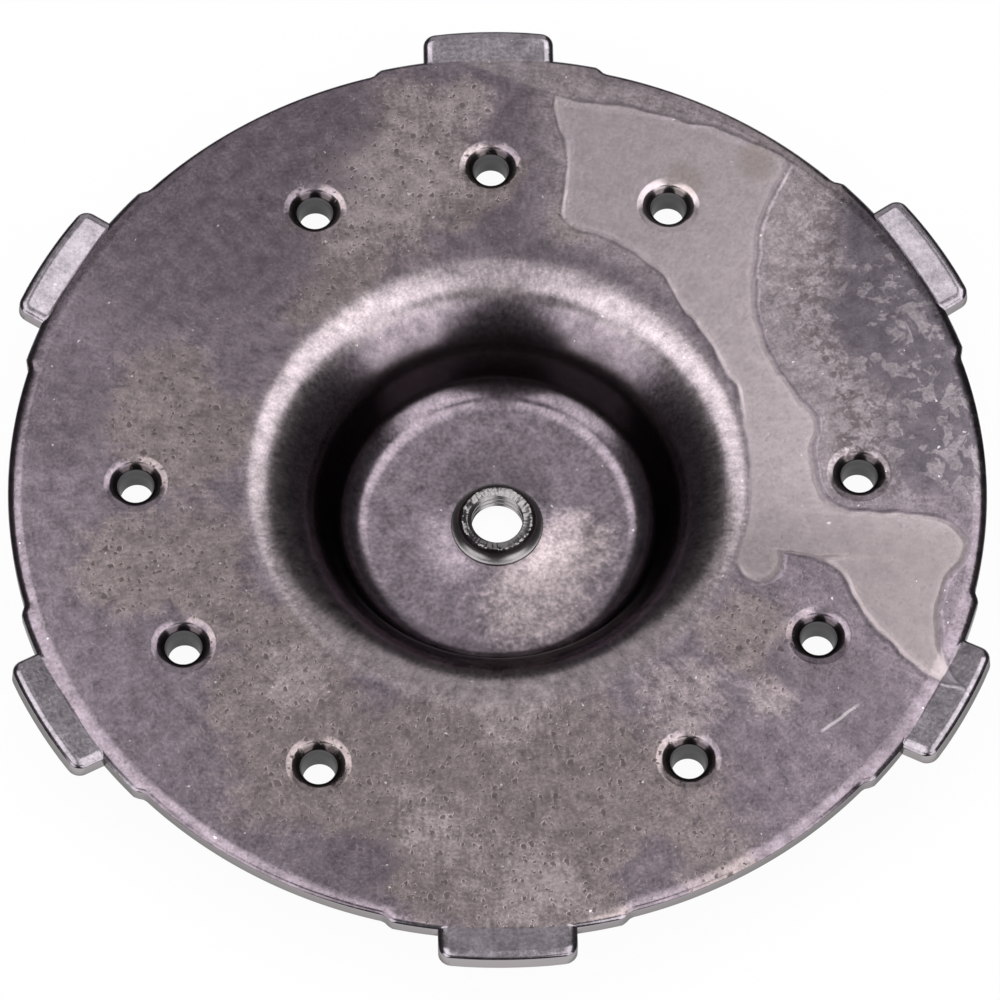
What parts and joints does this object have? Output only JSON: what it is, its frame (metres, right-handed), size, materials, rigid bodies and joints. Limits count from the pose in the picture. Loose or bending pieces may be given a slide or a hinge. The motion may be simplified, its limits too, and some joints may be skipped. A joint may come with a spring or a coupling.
{
  "type": "clutch pressure plate",
  "caption": "Pressed steel clutch pressure plate: flat friction face, drawn cup with a threaded bush for the release adjuster, drive tabs round the rim and sleeves behind that locate springs.",
  "frame": {"origin": "on the plate's axis, at the underside of the cup, which is the lowest plane of the part", "axes": "+Z along the plate's axis and out of the friction face; +Y through the middle of one drive tab, with another tab opposite it on -Y"},
  "size_m": [0.0952, 0.1026, 0.0124],
  "materials": {
    "plate_steel": "tumbled and stained, dull sheen",
    "bush_steel": "machined, thread bright",
    "sleeve_steel": "drawn tube, dull"
  },
  "bodies": {
    "root": {"pressure_plate": "plate_steel", "threaded_bush": "bush_steel", "spring_sleeve_1": "sleeve_steel", "spring_sleeve_2": "sleeve_steel", "spring_sleeve_3": "sleeve_steel", "spring_sleeve_4": "sleeve_steel", "spring_sleeve_5": "sleeve_steel", "spring_sleeve_6": "sleeve_steel", "spring_sleeve_7": "sleeve_steel", "spring_sleeve_8": "sleeve_steel", "spring_sleeve_9": "sleeve_steel"}
  },
  "joints": []
}
